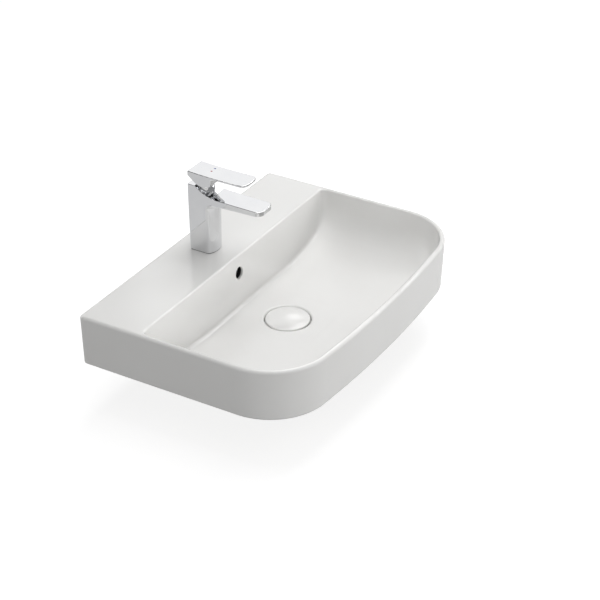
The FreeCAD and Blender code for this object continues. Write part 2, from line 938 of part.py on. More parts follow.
def port_places():
    angles = [math.radians(degrees) for degrees in port_angles]
    return [(port_offset * math.cos(a), port_offset * math.sin(a)) for a in angles]


def cartridge_base():
    body = cylinder(cartridge_radius, chamber_floor, fixed_disc_bottom)
    cuts = []
    for x, y in port_places():
        cuts.append(cylinder(port_radius, chamber_floor, fixed_disc_bottom, x, y))
        seat = port_radius + port_seal_wall
        cuts.append(cylinder(seat, chamber_floor, chamber_floor + port_seal_height, x, y))
    return to_tap(body.cut(cuts))


def cartridge_seals():
    rings = []
    for x, y in port_places():
        outer = port_radius + port_seal_wall
        rings.append(ring(outer, port_radius, chamber_floor, chamber_floor + port_seal_height, x, y))
    return to_tap(Part.makeCompound(rings))


def fixed_disc():
    body = cylinder(fixed_disc_radius, fixed_disc_bottom, fixed_disc_top)
    ports = [cylinder(port_radius, fixed_disc_bottom, fixed_disc_top, x, y) for x, y in port_places()]
    return to_tap(body.cut(ports))


def moving_disc():
    # At rest the disc stands half its travel behind the axis, with both inlets shut.
    back = disc_travel / 2
    body = cylinder(disc_radius, moving_disc_bottom, carrier_floor, 0.0, back)
    pocket_top = moving_disc_bottom + disc_pocket_depth
    pocket = cylinder(disc_pocket_radius, moving_disc_bottom, pocket_top, 0.0, back)
    return to_tap(body.cut(pocket))


def disc_carrier():
    back = disc_travel / 2
    body = cylinder(disc_radius, carrier_floor, carrier_floor + carrier_height, 0.0, back)
    gap = stem_ball_radius + stem_ball_clearance
    slot = block(-gap, gap, -gap, gap, carrier_floor, rotor_top)
    return to_tap(body.cut(slot))


def cartridge_housing():
    inner = rotor_radius + rotor_clearance
    body = cylinder(cartridge_radius, fixed_disc_bottom, housing_shoulder)
    body = body.fuse(cylinder(housing_upper_radius, housing_shoulder, housing_top_level))
    wide = cartridge_radius - housing_radial_wall
    cuts = [
        cylinder(fixed_disc_radius, fixed_disc_bottom, fixed_disc_top),
        cylinder(wide, fixed_disc_top, rotor_bottom),
        cylinder(inner, rotor_bottom, housing_top_level - housing_lid),
        cylinder(rotor_neck_radius + neck_clearance, rotor_bottom, housing_top_level),
    ]
    return to_tap(body.cut(cuts))


def cartridge_rotor():
    body = cylinder(rotor_radius, rotor_bottom, rotor_shoulder)
    body = body.fuse(cylinder(rotor_neck_radius, rotor_shoulder, rotor_top))
    half = stem_half + stem_clearance
    lean = math.tan(math.radians(lift_angle))
    front = disc_travel + stem_ball_radius + stem_clearance
    back = rotor_head_rise * lean + stem_half / math.cos(math.radians(lift_angle)) + stem_clearance
    slot = block(-half, half, -front, back, rotor_bottom, rotor_top)
    return to_tap(body.cut([slot, rotor_pin_solid(0.0)]))


def rotor_pin_solid(clearance):
    length = rotor_neck_radius - neck_clearance
    return Part.makeCylinder(
        pivot_pin_radius + clearance, 2 * length, Vec(-length, 0, pivot_height), Vec(1, 0, 0)
    )


def rotor_pin():
    return to_tap(rotor_pin_solid(0.0))


def cartridge_stem():
    body = block(-stem_half, stem_half, -stem_half, stem_half, pivot_height - stem_half, stem_top)
    arm = cylinder(stem_ball_radius, ball_height, pivot_height)
    ball = Part.makeSphere(stem_ball_radius, Vec(0, 0, ball_height))
    return to_tap(body.fuse([arm, ball]).cut(rotor_pin_solid(pivot_clearance)))


def cartridge_nut():
    low = housing_shoulder
    inner = housing_upper_radius + cartridge_clearance
    return to_tap(ring(cartridge_bore_radius, inner, low, low + nut_height))


def dome_ring():
    low = spout_top
    high = low + dome_height
    body = cylinder(dome_radius, low, high)
    top_edges = [e for e in body.Edges if e.BoundBox.ZMin > low + dome_height / 2]
    body = body.makeFillet(dome_edge_radius, top_edges)
    inside = cylinder(dome_radius - dome_wall, low, high - dome_wall)
    return to_tap(body.cut([inside, cylinder(dome_mouth_radius, low, high)]))


def lever_profile():
    top_back = Vec(0, -lever_back, lever_top_back)
    top_tip = Vec(0, -lever_tip, lever_top_tip)
    middle = (lever_back + lever_tip) / 2
    back_low = Vec(0, -lever_back, lever_top_back - lever_back_thickness)
    hub_heel = Vec(0, -hub_back, hub_back_height)
    hub_toe = Vec(0, -hub_front, hub_front_height)
    under = lever_top_tip - lever_tip_thickness
    hub_head = Vec(0, -hub_front, under - hub_fillet)
    bend = hub_fillet * (1 - math.sqrt(0.5))
    tip_low = Vec(0, -lever_tip, under)
    under_start = Vec(0, -hub_front - hub_fillet, under)
    return [
        arc(top_back, Vec(0, -middle, lever_top_middle), top_tip),
        line(top_tip, tip_low),
        line(tip_low, under_start),
        arc(under_start, Vec(0, -hub_front - bend, under - bend), hub_head),
        line(hub_head, hub_toe),
        arc(hub_toe, Vec(0, -hub_low, hub_low_height), hub_heel),
        line(hub_heel, back_low),
        line(back_low, top_back),
    ]


def lever_top(ahead):
    # Height of the lever's top: the same circle as its profile's arc.
    middle = (lever_back + lever_tip) / 2
    top_back = Vec(0, -lever_back, lever_top_back)
    top_tip = Vec(0, -lever_tip, lever_top_tip)
    circle = arc(top_back, Vec(0, -middle, lever_top_middle), top_tip).Curve
    offset = -ahead - circle.Center.y
    return circle.Center.z - math.sqrt(circle.Radius ** 2 - offset ** 2)


def dot_places():
    return [first_dot_offset + i * dot_pitch for i in range(2)]


def lever():
    half = lever_width / 2
    body = side_prism(lever_profile(), half)
    tips = along_edges(body, Vec(0, 0, 1), lambda p: p.y < cut_margin - lever_tip)
    body = body.makeFillet(lever_corner_radius, tips)
    rim = [e for e in body.Edges if e.BoundBox.ZMin > lever_top_middle - chrome_edge_radius]
    body = body.makeFillet(chrome_edge_radius, rim)
    inner = half - hub_wall
    heel = -hub_back - hub_wall
    cavity = block(-inner, inner, hub_wall - hub_front, heel, rotor_top, hub_ceiling)
    boss_half = stem_half + socket_wall
    boss_low = hub_low_height + hub_wall
    boss = block(-boss_half, boss_half, -boss_half, heel, boss_low, hub_ceiling)
    body = body.cut(cavity).fuse(boss)
    hole = stem_half + socket_clearance
    cuts = [
        block(-hole, hole, -hole, hole, rotor_top, stem_top),
        Part.makeCylinder(screw_radius, boss_half, Vec(0, -boss_half, screw_height), Vec(0, 1, 0)),
        Part.makeCylinder(plug_radius, hub_wall, Vec(0, -hub_front, screw_height), Vec(0, 1, 0)),
    ]
    top = lever_top(dot_ahead)
    for x in dot_places():
        cuts.append(cylinder(dot_radius, top - dot_depth, top + dot_depth, x, -dot_ahead))
    return to_tap(body.cut(cuts).removeSplitter())


def lever_screw():
    start = Vec(0, -stem_half - socket_wall, screw_height)
    return to_tap(Part.makeCylinder(screw_radius, socket_wall, start, Vec(0, 1, 0)))


def screw_plug():
    start = Vec(0, -hub_front, screw_height)
    return to_tap(Part.makeCylinder(plug_radius, plug_depth, start, Vec(0, 1, 0)))


def indicator_dot(x):
    top = lever_top(dot_ahead)
    return to_tap(cylinder(dot_radius, top - dot_depth, top, x, -dot_ahead))


def fixing_stud():
    low = stud_entry - stud_length
    return to_tap(cylinder(stud_radius, low, stud_entry, 0.0, stud_behind))


def horseshoe(low, high):
    body = cylinder(horseshoe_radius, low, high)
    half = horseshoe_slot_half
    front = -horseshoe_radius - cut_margin
    slot = block(-half, half, front, horseshoe_slot_back, low, high)
    hole = cylinder(stud_radius + thread_clearance, low, high, 0.0, stud_behind)
    return to_tap(body.cut([slot, hole]))


def horseshoe_gasket():
    return horseshoe(-deck_wall - horseshoe_gasket_thickness, -deck_wall)


def horseshoe_plate():
    high = -deck_wall - horseshoe_gasket_thickness
    return horseshoe(high - horseshoe_plate_thickness, high)


def fixing_nut():
    high = -deck_wall - horseshoe_gasket_thickness - horseshoe_plate_thickness
    low = high - fixing_nut_height
    body = nut_blank(fixing_nut_radius, low, high, 0.0, stud_behind)
    return to_tap(body.cut(cylinder(stud_radius, low, high, 0.0, stud_behind)))


nodes = {
    "basin_body": basin_body,
    "waste_cover": waste_cover,
    "cover_carrier": cover_carrier,
    "cover_seal": cover_seal,
    "waste_plunger": waste_plunger,
    "click_housing": click_housing,
    "click_spring": click_spring,
    "waste_body": waste_body,
    "waste_top_gasket": waste_top_gasket,
    "waste_bottom_gasket": waste_bottom_gasket,
    "waste_slip_washer": waste_slip_washer,
    "waste_backnut": waste_backnut,
    "tap_body": tap_body,
    "tap_base_gasket": tap_base_gasket,
    "aerator_shell": aerator_shell,
    "aerator_insert": aerator_insert,
    "aerator_seal": aerator_seal,
    "cartridge_base": cartridge_base,
    "cartridge_seals": cartridge_seals,
    "fixed_disc": fixed_disc,
    "moving_disc": moving_disc,
    "disc_carrier": disc_carrier,
    "cartridge_housing": cartridge_housing,
    "cartridge_rotor": cartridge_rotor,
    "rotor_pin": rotor_pin,
    "cartridge_stem": cartridge_stem,
    "cartridge_nut": cartridge_nut,
    "dome_ring": dome_ring,
    "lever": lever,
    "lever_screw": lever_screw,
    "screw_plug": screw_plug,
    "hot_dot": lambda: indicator_dot(dot_places()[0]),
    "cold_dot": lambda: indicator_dot(dot_places()[1]),
    "fixing_stud": fixing_stud,
    "horseshoe_gasket": horseshoe_gasket,
    "horseshoe_plate": horseshoe_plate,
    "fixing_nut": fixing_nut,
}

os.makedirs("parts", exist_ok=True)
for name, make in nodes.items():
    shape = make()
    shape.exportStep(os.path.join("parts", name + ".step"))
    print(name, "solids", len(shape.Solids), "valid", shape.isValid(), "volume", round(shape.Volume, 1))
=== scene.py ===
# Countertop basin with a single lever tap and a click waste, dressed for the studio.
import math

import bmesh
import bpy
from mathutils import Matrix, Vector


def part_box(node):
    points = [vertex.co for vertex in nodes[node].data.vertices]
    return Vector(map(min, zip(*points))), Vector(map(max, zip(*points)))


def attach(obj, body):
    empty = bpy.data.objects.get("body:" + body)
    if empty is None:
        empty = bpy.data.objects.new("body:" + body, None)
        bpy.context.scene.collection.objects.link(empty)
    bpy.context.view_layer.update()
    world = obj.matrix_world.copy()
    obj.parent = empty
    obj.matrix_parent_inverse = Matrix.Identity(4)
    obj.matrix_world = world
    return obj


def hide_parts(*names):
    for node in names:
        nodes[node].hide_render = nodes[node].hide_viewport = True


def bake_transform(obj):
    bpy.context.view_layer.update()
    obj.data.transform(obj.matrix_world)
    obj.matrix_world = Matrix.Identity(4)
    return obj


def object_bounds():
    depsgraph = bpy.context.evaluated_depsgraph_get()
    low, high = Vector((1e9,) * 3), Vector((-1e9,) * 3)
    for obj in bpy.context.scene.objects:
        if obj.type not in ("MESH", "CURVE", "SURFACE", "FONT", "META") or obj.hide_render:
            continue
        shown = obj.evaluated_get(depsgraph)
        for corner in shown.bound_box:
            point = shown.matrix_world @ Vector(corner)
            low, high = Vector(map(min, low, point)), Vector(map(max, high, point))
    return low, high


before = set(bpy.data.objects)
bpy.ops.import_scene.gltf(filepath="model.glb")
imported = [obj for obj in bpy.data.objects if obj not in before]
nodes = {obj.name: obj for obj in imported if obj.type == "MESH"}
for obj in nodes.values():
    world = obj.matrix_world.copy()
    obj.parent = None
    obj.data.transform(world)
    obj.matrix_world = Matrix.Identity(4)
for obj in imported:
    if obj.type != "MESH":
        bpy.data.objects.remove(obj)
cadLow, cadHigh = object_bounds()
white = (1, 1, 1, 1)
print("frame:", len(nodes), "nodes")


# Objects and meshes

def addObject(name, data):
    made = bpy.data.objects.new(name, data)
    bpy.context.scene.collection.objects.link(made)
    return made


def meshFrom(bm, name):
    mesh = bpy.data.meshes.new(name)
    bm.to_mesh(mesh)
    bm.free()
    return mesh


# Node helpers: each adds one node, and all but the first give back what it puts out

mixSockets = {"RGBA": (6, 7, 2), "FLOAT": (2, 3, 0)}  # both inputs and the result, by number


def place(tree, kind, feeds=None, **settings):
    # feeds are links or plain values, by a socket's name or number
    node = tree.nodes.new(kind)
    for key, value in settings.items():
        setattr(node, key, value)
    for socket, value in (feeds or {}).items():
        if isinstance(value, bpy.types.NodeSocket):
            tree.links.new(value, node.inputs[socket])
        else:
            node.inputs[socket].default_value = value
    return node


def reckon(tree, operation, *terms, **settings):
    feeds = dict(enumerate(terms))
    return place(tree, "ShaderNodeMath", feeds, operation=operation, **settings).outputs["Value"]


def reckonVector(tree, operation, *terms, result="Vector"):
    feeds = dict(enumerate(terms))
    return place(tree, "ShaderNodeVectorMath", feeds, operation=operation).outputs[result]


def split(tree, vector):
    return place(tree, "ShaderNodeSeparateXYZ", {"Vector": vector}).outputs


def remap(tree, value, ends, low=0.0, high=1.0, **settings):
    feeds = {"Value": value, "From Min": ends[0], "From Max": ends[1], "To Min": low, "To Max": high}
    return place(tree, "ShaderNodeMapRange", feeds, **settings).outputs["Result"]


def mix(tree, kind, factor, first, second):
    firstSocket, secondSocket, result = mixSockets[kind]
    feeds = {"Factor": factor, firstSocket: first, secondSocket: second}
    return place(tree, "ShaderNodeMix", feeds, data_type=kind).outputs[result]


def noise(tree, spot, scale, detail, roughness=0.5):
    feeds = {"Vector": spot, "Scale": scale, "Detail": detail, "Roughness": roughness}
    return place(tree, "ShaderNodeTexNoise", feeds).outputs["Fac"]


def useGroup(tree, name, feeds):
    # every group here puts out one thing
    return place(tree, "ShaderNodeGroup", feeds, node_tree=groups[name]).outputs[0]


# Shared effects

effectLook = {
    "mottle": {"detail": 3.0, "roughness": 0.55, "ends": (0.3, 0.7)},
    "tint": {"detail": 4.0, "ends": (0.35, 0.65)},
    "ripple": {"slowDetail": 1.0, "fineDetail": 2.0},
    "turned": {"distortion": 0.6, "detail": 2.0},
}


def newGroup(name, inputs, outputs):
    tree = bpy.data.node_groups.new(name, "ShaderNodeTree")
    for way, sockets in (("INPUT", inputs), ("OUTPUT", outputs)):
        for label, kind in sockets.items():
            tree.interface.new_socket(label, in_out=way, socket_type="NodeSocket" + kind)
    given = tree.nodes.new("NodeGroupInput").outputs
    made = tree.nodes.new("NodeGroupOutput").inputs
    return tree, given, made


def makeMottle():
    # soft patches that move a value between two ends
    look = effectLook["mottle"]
    tree, given, made = newGroup(
        "mottle", {"Vector": "Vector", "Scale": "Float", "Low": "Float", "High": "Float"}, {"Value": "Float"})
    patches = noise(tree, given["Vector"], given["Scale"], look["detail"], look["roughness"])
    spread = remap(tree, patches, look["ends"], given["Low"], given["High"])
    tree.links.new(spread, made["Value"])
    return tree


def makeTint():
    # two near colours mixed in soft patches
    look = effectLook["tint"]
    tree, given, made = newGroup(
        "tint", {"Vector": "Vector", "Scale": "Float", "First": "Color", "Second": "Color"}, {"Color": "Color"})
    patches = noise(tree, given["Vector"], given["Scale"], look["detail"])
    spread = remap(tree, patches, look["ends"])
    tree.links.new(mix(tree, "RGBA", spread, given["First"], given["Second"]), made["Color"])
    return tree


def makeRipple():
    # slow waves and a fine peel, as one height
    look = effectLook["ripple"]
    tree, given, made = newGroup(
        "ripple", {"Vector": "Vector", "Slow": "Float", "Fine": "Float", "Share": "Float"}, {"Height": "Float"})
    slow = noise(tree, given["Vector"], given["Slow"], look["slowDetail"])
    fine = noise(tree, given["Vector"], given["Fine"], look["fineDetail"])
    both = reckon(tree, "ADD", slow, reckon(tree, "MULTIPLY", fine, given["Share"]))
    tree.links.new(both, made["Height"])
    return tree


def makeTurned():
    # the fine rings that a lathe leaves, square to the piece's upright axis
    look = effectLook["turned"]
    tree, given, made = newGroup("turned", {"Vector": "Vector", "Scale": "Float"}, {"Height": "Float"})
    rings = place(tree, "ShaderNodeTexWave", {
        "Vector": given["Vector"], "Scale": given["Scale"],
        "Distortion": look["distortion"], "Detail": look["detail"],
    }, wave_type="BANDS", bands_direction="Z")
    tree.links.new(rings.outputs["Fac"], made["Height"])
    return tree


def makeInsideBox():
    # a mask of what lies inside a box, soft towards its faces
    tree, given, made = newGroup(
        "insideBox", {"Vector": "Vector", "Centre": "Vector", "Half": "Vector", "Soft": "Float"}, {"Mask": "Float"})
    fromCentre = reckonVector(tree, "SUBTRACT", given["Vector"], given["Centre"])
    folded = reckonVector(tree, "ABSOLUTE", fromCentre)
    beyond = split(tree, reckonVector(tree, "SUBTRACT", folded, given["Half"]))
    widest = reckon(tree, "MAXIMUM", beyond["X"], beyond["Y"])
    farthest = reckon(tree, "MAXIMUM", widest, beyond["Z"])
    outward = reckon(tree, "DIVIDE", farthest, given["Soft"])
    tree.links.new(reckon(tree, "MULTIPLY", outward, -1.0, use_clamp=True), made["Mask"])
    return tree


groups = {"mottle": makeMottle(), "tint": makeTint(), "ripple": makeRipple(), "turned": makeTurned(),
          "insideBox": makeInsideBox()}
print("shared effects:", ", ".join(groups))


# Finishes

def newFinish(name):
    finish = bpy.data.materials.new(name)
    finish.use_nodes = True
    return finish, finish.node_tree, finish.node_tree.nodes["Principled BSDF"]


def startFinish(look):
    # two near colours and an uneven gloss, which every finish has
    finish, tree, shader = newFinish(look["name"])
    spot = place(tree, "ShaderNodeTexCoord").outputs["Object"]
    tint = useGroup(tree, "tint", {
        "Vector": spot, "Scale": look["tintScale"], "First": look["first"], "Second": look["second"],
    })
    tree.links.new(tint, shader.inputs["Base Color"])
    low, high = look["rough"]
    gloss = useGroup(tree, "mottle", {"Vector": spot, "Scale": look["roughScale"], "Low": low, "High": high})
    tree.links.new(gloss, shader.inputs["Roughness"])
    return finish, tree, shader, spot


def bumped(tree, shader, height, look):
    bump = place(tree, "ShaderNodeBump", {
        "Height": height, "Strength": look["bump"], "Distance": look["bumpDepth"],
    })
    tree.links.new(bump.outputs["Normal"], shader.inputs["Normal"])


def rippled(tree, shader, spot, slow, fine, look):
    height = useGroup(tree, "ripple", {"Vector": spot, "Slow": slow, "Fine": fine, "Share": look["fineShare"]})
    bumped(tree, shader, height, look)


def bareOrPaintedShade(tree, shader, mask, colour, rough):
    # gives way to a bare surface, or to painted shade, where the mask says so
    for socket, kind, bare in (("Base Color", "RGBA", colour), ("Roughness", "FLOAT", rough)):
        glazed = shader.inputs[socket].links[0].from_socket
        tree.links.new(mix(tree, kind, mask, glazed, bare), shader.inputs[socket])


glazeLook = {
    "name": "glazedCeramic", "first": (0.834, 0.831, 0.818, 1), "second": (0.821, 0.817, 0.803, 1),
    "tintScale": 9.0, "rough": (0.13, 0.17), "roughScale": 14.0, "ior": 1.6,
    "slow": 24.0, "fine": 160.0, "fineShare": 0.15, "bump": 0.02, "bumpDepth": 0.002,
    "clay": (0.66, 0.63, 0.57, 1), "bareRough": 0.75, "facingDown": (-0.45, -0.8),
    # near-black painted shade for the overflow's duct, and the box where it is painted
    "ductShadeColour": (0.003, 0.003, 0.003, 1), "ductMiddle": (0, 0.112, 0.0168),
    "ductHalf": (0.0156, 0.0115, 0.0568), "ductSoft": 0.0012,
}


def makeGlaze():
    look = glazeLook
    finish, tree, shader, spot = startFinish(look)
    # the underside is left unglazed, and the overflow's duct is painted near black as painted shade for the dark of
    # its deep passage
    facing = split(tree, place(tree, "ShaderNodeNewGeometry").outputs["Normal"])["Z"]
    under = remap(tree, facing, look["facingDown"])
    ductPaintedShade = useGroup(tree, "insideBox", {
        "Vector": spot, "Centre": look["ductMiddle"], "Half": look["ductHalf"], "Soft": look["ductSoft"],
    })
    bareOrPaintedShade(tree, shader, under, look["clay"], look["bareRough"])
    # painted shade: the duct is coloured near black, standing in for the dark inside the deep passage
    bareOrPaintedShade(tree, shader, ductPaintedShade, look["ductShadeColour"], look["bareRough"])
    rippled(tree, shader, spot, look["slow"], look["fine"], look)
    shader.inputs["IOR"].default_value = look["ior"]
    return finish


chromeLook = {
    "name": "polishedChrome", "first": (0.77, 0.775, 0.785, 1), "second": (0.745, 0.75, 0.765, 1),
    "tintScale": 30.0, "rough": (0.02, 0.045), "roughScale": 45.0,
}


def makeChrome():
    finish, _, shader, _ = startFinish(chromeLook)
    shader.inputs["Metallic"].default_value = 1.0
    return finish


metalLook = {"tintScale": 60.0, "roughScale": 90.0, "bump": 0.15, "bumpDepth": 0.0002}
metals = {
    "brass": {"name": "turnedBrass", "first": (0.74, 0.56, 0.27, 1), "second": (0.66, 0.49, 0.22, 1),
              "rough": (0.18, 0.34), "rings": 900.0},
    "steel": {"name": "zincedSteel", "first": (0.62, 0.63, 0.64, 1), "second": (0.5, 0.51, 0.53, 1),
              "rough": (0.24, 0.42), "rings": 700.0},
}


def makeMetal(own):
    look = {**metalLook, **own}
    finish, tree, shader, spot = startFinish(look)
    bumped(tree, shader, useGroup(tree, "turned", {"Vector": spot, "Scale": look["rings"]}), look)
    shader.inputs["Metallic"].default_value = 1.0
    return finish


mouldedLook = {"tintScale": 40.0, "roughScale": 120.0, "slowRatio": 0.25, "fineShare": 1.0,
               "bump": 0.12, "bumpDepth": 0.0003}
moulded = {
    "rubber": {"name": "sealRubber", "first": (0.024, 0.024, 0.025, 1), "second": (0.04, 0.04, 0.041, 1),
               "rough": (0.5, 0.72), "grain": 900.0},
    "white_plastic": {"name": "whitePlastic", "first": (0.76, 0.76, 0.74, 1), "second": (0.7, 0.7, 0.68, 1),
                      "rough": (0.3, 0.45), "grain": 700.0},
    "grey_plastic": {"name": "greyPlastic", "first": (0.3, 0.31, 0.32, 1), "second": (0.25, 0.26, 0.27, 1),
                     "rough": (0.32, 0.48), "grain": 700.0},
    "disc_ceramic": {"name": "discCeramic", "first": (0.78, 0.75, 0.68, 1), "second": (0.73, 0.7, 0.63, 1),
                     "rough": (0.14, 0.24), "grain": 1500.0},
    "grey_plug": {"name": "greyPlug", "first": (0.36, 0.37, 0.38, 1), "second": (0.31, 0.32, 0.33, 1),
                  "rough": (0.28, 0.4), "grain": 900.0},
    "hot_red": {"name": "hotRed", "first": (0.34, 0.012, 0.016, 1), "second": (0.3, 0.009, 0.012, 1),
                "rough": (0.5, 0.62), "grain": 1200.0},
    "cold_blue": {"name": "coldBlue", "first": (0.012, 0.05, 0.27, 1), "second": (0.009, 0.04, 0.23, 1),
                  "rough": (0.5, 0.62), "grain": 1200.0},
}


def makeMoulded(own):
    look = {**mouldedLook, **own}
    finish, tree, shader, spot = startFinish(look)
    rippled(tree, shader, spot, look["grain"] * look["slowRatio"], look["grain"], look)
    return finish


finishes = {"glaze": makeGlaze(), "chrome": makeChrome()}
finishes.update({slot: makeMetal(own) for slot, own in metals.items()})
finishes.update({slot: makeMoulded(own) for slot, own in moulded.items()})
slotOf = {}
for name, node in nodes.items():
    slotOf[name] = node.material_slots[0].name
    node.material_slots[0].material = finishes[slotOf[name]]
print("finishes:", len(finishes))


# Pieces with real threads and turns, in place of the plain solids

pieceLook = {"weld": 1e-6, "sharpAngle": 35}


def only(geom, kind):
    return [part for part in geom if isinstance(part, kind)]


def wind(bm, geom, middle, turns, steps, climb=0.0, closed=False):
    # turns geometry about an upright axis and lifts it at each step
    return bmesh.ops.spin(bm, geom=geom, cent=(middle.x, middle.y, 0), axis=(0, 0, 1), dvec=(0, 0, climb),
                          angle=math.tau * turns, steps=steps, use_merge=closed)["geom_last"]


def turnProfile(bm, spots, middle, steps):
    # turns a chain of radius and height once round
    chain = [bm.verts.new((middle.x + radius, middle.y, height)) for radius, height in spots]
    edges = [bm.edges.new(pair) for pair in zip(chain, chain[1:])]
    wind(bm, chain + edges, middle, 1, steps, closed=True)


def addThread(bm, middle, look, low, high):
    # one ridge wound up the core, faded into it at both ends
    core, crest, pitch = look["core"], look["crest"], look["pitch"]
    sunk = core - look["sink"]
    root, tip = pitch * look["rootShare"], pitch * look["tipShare"]
    known = set(bm.verts)
    ring = [bm.verts.new((middle.x + radius, middle.y, low + pitch / 2 + height))
            for radius, height in ((sunk, -root), (crest, -tip), (crest, tip), (sunk, root))]
    loop = [bm.edges.new((ring[i - 1], ring[i])) for i in range(len(ring))]
    turns = (high - low) / pitch - 1
    count = round(turns * look["steps"])
    wind(bm, ring + loop, middle, turns, count, climb=pitch * turns / count)
    made = [v for v in bm.verts if v not in known]
    bmesh.ops.holes_fill(bm, edges=list({e for v in made for e in v.link_edges if e.is_boundary}))
    for v in made:
        share = max(0.0, min(1.0, (v.co.z - low) / pitch, (high - v.co.z) / pitch))
        out = Vector((v.co.x - middle.x, v.co.y - middle.y))
        radius = sunk + (out.length - sunk) * share
        v.co.xy = Vector((middle.x, middle.y)) + out.normalized() * radius


def finishPiece(bm, name, node):
    bmesh.ops.remove_doubles(bm, verts=bm.verts, dist=pieceLook["weld"])
    bmesh.ops.recalc_face_normals(bm, faces=bm.faces)
    mesh = meshFrom(bm, name)
    mesh.shade_smooth()
    mesh.set_sharp_from_angle(angle=math.radians(pieceLook["sharpAngle"]))
    mesh.materials.append(finishes[slotOf[node]])
    piece = addObject(name, mesh)
    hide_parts(node)
    return piece


studLook = {"core": 0.00345, "crest": 0.004, "pitch": 0.00125, "steps": 24, "sink": 0.0002,
            "rootShare": 0.46, "tipShare": 0.1, "chamfer": 0.0006}


def makeStud():
    low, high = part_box("fixing_stud")
    look, middle = studLook, (low + high) / 2
    core, chamfer = look["core"], look["chamfer"]
    end = core - chamfer
    bm = bmesh.new()
    turnProfile(bm, [(0, low.z), (end, low.z), (core, low.z + chamfer),
                     (core, high.z - chamfer), (end, high.z), (0, high.z)], middle, look["steps"])
    addThread(bm, middle, look, low.z + chamfer / 2, high.z - chamfer / 2)
    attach(finishPiece(bm, "studThread", "fixing_stud"), "base")


nutLook = {"sides": 6, "turn": 30, "corner": 0.0075, "bore": 0.00415, "lead": 0.0004,
           "cuts": 24, "coneAngle": 30, "coneStart": 0.00617, "snap": 1e-7}


def makeNut():
    low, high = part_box("fixing_nut")
    look, middle = nutLook, (low + high) / 2
    bm = bmesh.new()
    foot = Matrix.Translation((middle.x, middle.y, low.z)) @ Matrix.Rotation(math.radians(look["turn"]), 4, "Z")
    bmesh.ops.create_circle(bm, cap_ends=True, segments=look["sides"], radius=look["corner"], matrix=foot)
    raised = bmesh.ops.extrude_face_region(bm, geom=bm.faces[:], use_keep_orig=True)["geom"]
    bmesh.ops.translate(bm, verts=only(raised, bmesh.types.BMVert), vec=(0, 0, high.z - low.z))
    # flat cuts all round take the corners off as a cone
    tilt = math.radians(look["coneAngle"])
    for level, side in ((low.z, -1), (high.z, 1)):
        for i in range(look["cuts"]):
            turn = math.tau * i / look["cuts"]
            out = Vector((math.cos(turn), math.sin(turn), 0))
            cut = bmesh.ops.bisect_plane(
                bm, geom=bm.verts[:] + bm.edges[:] + bm.faces[:], dist=look["snap"], clear_outer=True,
                plane_co=Vector((middle.x, middle.y, level)) + out * look["coneStart"],
                plane_no=out * math.sin(tilt) + Vector((0, 0, side * math.cos(tilt))))
            bmesh.ops.contextual_create(bm, geom=only(cut["geom_cut"], bmesh.types.BMEdge))
    bmesh.ops.recalc_face_normals(bm, faces=bm.faces)
    # the bore, with a lead at both ends
    ends = sorted(bm.faces, key=lambda face: face.normal.z)
    openings = [ends[0], ends[-1]]
    bmesh.ops.inset_region(bm, faces=openings, use_even_offset=True,
                           thickness=look["coneStart"] - look["bore"] - look["lead"])
    bmesh.ops.inset_region(bm, faces=openings, use_even_offset=True, thickness=look["lead"], depth=-look["lead"])
    rims = [e for face in openings for e in face.edges]
    bmesh.ops.delete(bm, geom=openings, context="FACES_ONLY")
    bmesh.ops.bridge_loops(bm, edges=rims)
    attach(finishPiece(bm, "studNut", "fixing_nut"), "base")


springLook = {"wire": 0.00062, "sides": 10, "steps": 28, "closedTurns": 1, "openTurns": 4}


def makeSpring():
    # closed end coils and open ones between, so that it can stretch as the cover rises
    low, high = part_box("click_spring")
    look, middle = springLook, (low + high) / 2
    wire = look["wire"]
    radius = (high.x - low.x) / 2 - wire
    bm = bmesh.new()
    upended = Matrix.Rotation(math.radians(90), 4, "X")
    start = Matrix.Translation((middle.x + radius, middle.y, low.z + wire)) @ upended
    bmesh.ops.create_circle(bm, segments=look["sides"], radius=wire, matrix=start)
    closedPitch = 2 * wire
    openPitch = (high.z - low.z - closedPitch * (1 + 2 * look["closedTurns"])) / look["openTurns"]
    geom = bm.verts[:] + bm.edges[:]
    ends = (look["closedTurns"], closedPitch)
    for turns, pitch in (ends, (look["openTurns"], openPitch), ends):
        geom = wind(bm, geom, middle, turns, turns * look["steps"], climb=pitch / look["steps"])
    bmesh.ops.holes_fill(bm, edges=[e for e in bm.edges if e.is_boundary])
    piece = finishPiece(bm, "clickSpring", "click_spring")
    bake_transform(piece)


wasteLook = {
    "core": 0.02, "crest": 0.02095, "pitch": 0.0023, "steps": 56, "sink": 0.0003,
    "rootShare": 0.46, "tipShare": 0.12, "threadTop": -0.0535, "chamfer": 0.0012,
    "bore": 0.018, "mouth": 0.022, "flange": 0.0335, "flangeHeight": 0.003,
    "slots": 4, "slotSteps": 4, "slotTop": -0.0255, "slotLow": -0.0315,
}


def cutSlot(bm, middle, turn, look):
    # opens the same few faces of the outer and the inner wall, and joins their rims
    out = Vector((math.cos(turn), math.sin(turn)))
    reach = math.tau * look["slotSteps"] / look["steps"] / 2
    window = []
    for face in bm.faces:
        spot = face.calc_center_median() - Vector((middle.x, middle.y, 0))
        if look["slotLow"] < spot.z < look["slotTop"] and spot.xy.angle(out) < reach:
            window.append(face)
    rims = {e for face in window for e in face.edges if sum(f in window for f in e.link_faces) == 1}
    bmesh.ops.delete(bm, geom=window, context="FACES_ONLY")
    loose = [e for e in bm.edges if not e.link_faces]
    bmesh.ops.bridge_loops(bm, edges=list(rims))
    bmesh.ops.delete(bm, geom=loose, context="EDGES")


